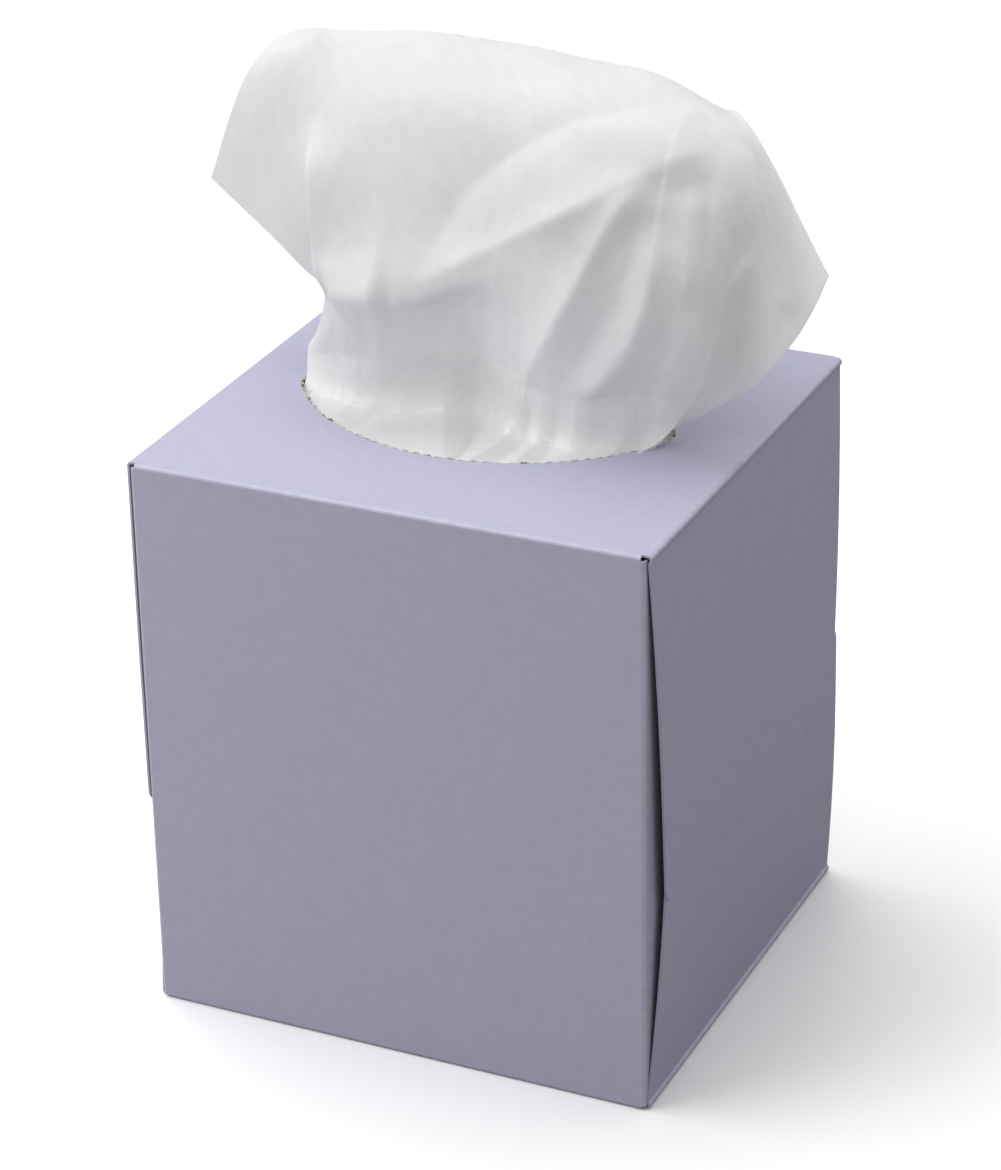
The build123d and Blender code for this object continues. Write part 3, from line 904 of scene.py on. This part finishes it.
def oval(count):
    """Points evenly along the oval of four arcs, and the way out at each."""
    arcs = [
        (end_centre, 0, OPENING_END_RADIUS, -(math.pi / 2 - end_turn), math.pi / 2 - end_turn),
        (0, -side_drop, OPENING_SIDE_RADIUS, math.pi / 2 - end_turn, math.pi / 2 + end_turn),
        (-end_centre, 0, OPENING_END_RADIUS, math.pi / 2 + end_turn, 3 * math.pi / 2 - end_turn),
        (0, side_drop, OPENING_SIDE_RADIUS, 3 * math.pi / 2 - end_turn, 3 * math.pi / 2 + end_turn),
    ]
    lengths = np.array([radius * (stop - start) for _, _, radius, start, stop in arcs])
    starts = np.concatenate(([0], np.cumsum(lengths)))
    spots = []
    for s in np.arange(count) / count * starts[-1]:
        k = min(int(np.searchsorted(starts, s, side="right")) - 1, 3)
        cx, cy, radius, start, stop = arcs[k]
        angle = start + (s - starts[k]) / radius
        out_x = math.cos(angle)
        out_y = math.sin(angle)
        spots.append((OPENING_SHIFT + cx + radius * out_x, cy + radius * out_y, out_x, out_y, s))
    return np.array(spots), starts[-1]


spots, rim_length = oval(RIM_POINTS)
print("oval %.1f mm round" % rim_length)

# %% How far each point of the edge was torn
TEAR_PITCH_MM = 2.5
TEAR_MM = 0.8
SHORTEST_STUB = 0.35
FRAY = 0.10
teeth = round(rim_length / TEAR_PITCH_MM)
phase = spots[:, 4] / rim_length * teeth
tooth_size = rng.uniform(SHORTEST_STUB, 1.0, teeth)[np.floor(phase).astype(int) % teeth]
stub = np.clip(np.sin(math.pi * (phase % 1)) * 1.6 - 0.35, 0, 1) * tooth_size
fray = rng.normal(0, FRAY, RIM_POINTS)
fray = (fray + np.roll(fray, 1) + np.roll(fray, -1)) / 3
inward = TEAR_MM * np.clip(stub + fray + 0.12, 0.05, 1.2)
print("%d stubs, %.2f to %.2f mm long" % (teeth, inward.min(), inward.max()))

# %% Torn rim
BOARD_MM = 0.45
ROOT_MM = 0.05  # the ring starts this far inside the board
HANG_MM = 0.04
SAG_MM = 0.05
RIM_THICK_SHARE = 0.8
deselect_all()
bpy.ops.mesh.primitive_circle_add(vertices=RIM_POINTS, radius=1, fill_type="NOTHING")
torn_rim = bpy.context.object
torn_rim.name = "torn_rim"
for point, (px, py, nx, ny, _) in zip(torn_rim.data.vertices, spots):
    point.co = ((px + nx * ROOT_MM) * MM, (py + ny * ROOT_MM) * MM, TOP - 0.5 * BOARD_MM * MM)
bpy.ops.object.mode_set(mode="EDIT")
bpy.ops.mesh.select_all(action="SELECT")
bpy.ops.mesh.extrude_edges_move()
bpy.ops.object.mode_set(mode="OBJECT")
sag = rng.normal(0, SAG_MM, RIM_POINTS)
for k in range(RIM_POINTS):
    px, py, nx, ny, _ = spots[k]
    point = torn_rim.data.vertices[RIM_POINTS + k]
    height = TOP - (0.5 * BOARD_MM + HANG_MM - sag[k]) * MM
    point.co = ((px - nx * inward[k]) * MM, (py - ny * inward[k]) * MM, height)
deselect_all()
torn_rim.select_set(True)
bpy.context.view_layer.objects.active = torn_rim
bpy.ops.object.mode_set(mode="EDIT")
bpy.ops.mesh.select_all(action="SELECT")
bpy.ops.mesh.normals_make_consistent(inside=False)
bpy.ops.object.mode_set(mode="OBJECT")
thicken(torn_rim, BOARD_MM * RIM_THICK_SHARE * MM)
print("torn rim", len(torn_rim.data.polygons), "faces")

# %% Torn board finish
FIBRE_MM = 0.5
PATCH_MM = 3.0
# Painted shade: the dark patches stand for the shadow in the gaps between the stubs
TORN_PAINTED_SHADE = "#5E5148"
TORN_PALE = "#C9C2BB"
# Torn bare boxboard: dull, fuzzy grey-brown pulp in pale patches, with dark patches of painted shade for the
# gaps between the stubs
torn_board, tree = new_material("torn bare boxboard")
where = add(tree, "ShaderNodeTexCoord")
fibre = add(
    tree,
    "ShaderNodeTexNoise",
    {"Vector": where.outputs["Object"], "Scale": 1 / (FIBRE_MM * MM), "Detail": 4.0},
)
patch = add(
    tree,
    "ShaderNodeTexNoise",
    {"Vector": where.outputs["Object"], "Scale": 1 / (PATCH_MM * MM), "Detail": 2.0},
)
blend = add(tree, "ShaderNodeMath", {0: fibre.outputs["Fac"], 1: patch.outputs["Fac"]}, operation="MULTIPLY")
torn = add(tree, "ShaderNodeValToRGB", {"Fac": blend.outputs[0]})
# The dark end of the ramp is painted shade; the pale end is the bare pulp
torn.color_ramp.elements[0].position = 0.16
torn.color_ramp.elements[0].color = linear(TORN_PAINTED_SHADE)
torn.color_ramp.elements[1].position = 0.30
torn.color_ramp.elements[1].color = linear(TORN_PALE)
bump = add(tree, "ShaderNodeBump", {"Height": fibre.outputs["Fac"], "Strength": 0.6, "Distance": 0.12 * MM})
pulp = add(
    tree,
    "ShaderNodeBsdfPrincipled",
    {
        "Base Color": torn.outputs["Color"],
        "Roughness": 0.95,
        "Specular IOR Level": 0.1,
        "Normal": bump.outputs["Normal"],
    },
)
add(tree, "ShaderNodeOutputMaterial", {"Surface": pulp.outputs[0]})
torn_rim.data.materials.append(torn_board)
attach(torn_rim, "root")
print("torn rim dressed")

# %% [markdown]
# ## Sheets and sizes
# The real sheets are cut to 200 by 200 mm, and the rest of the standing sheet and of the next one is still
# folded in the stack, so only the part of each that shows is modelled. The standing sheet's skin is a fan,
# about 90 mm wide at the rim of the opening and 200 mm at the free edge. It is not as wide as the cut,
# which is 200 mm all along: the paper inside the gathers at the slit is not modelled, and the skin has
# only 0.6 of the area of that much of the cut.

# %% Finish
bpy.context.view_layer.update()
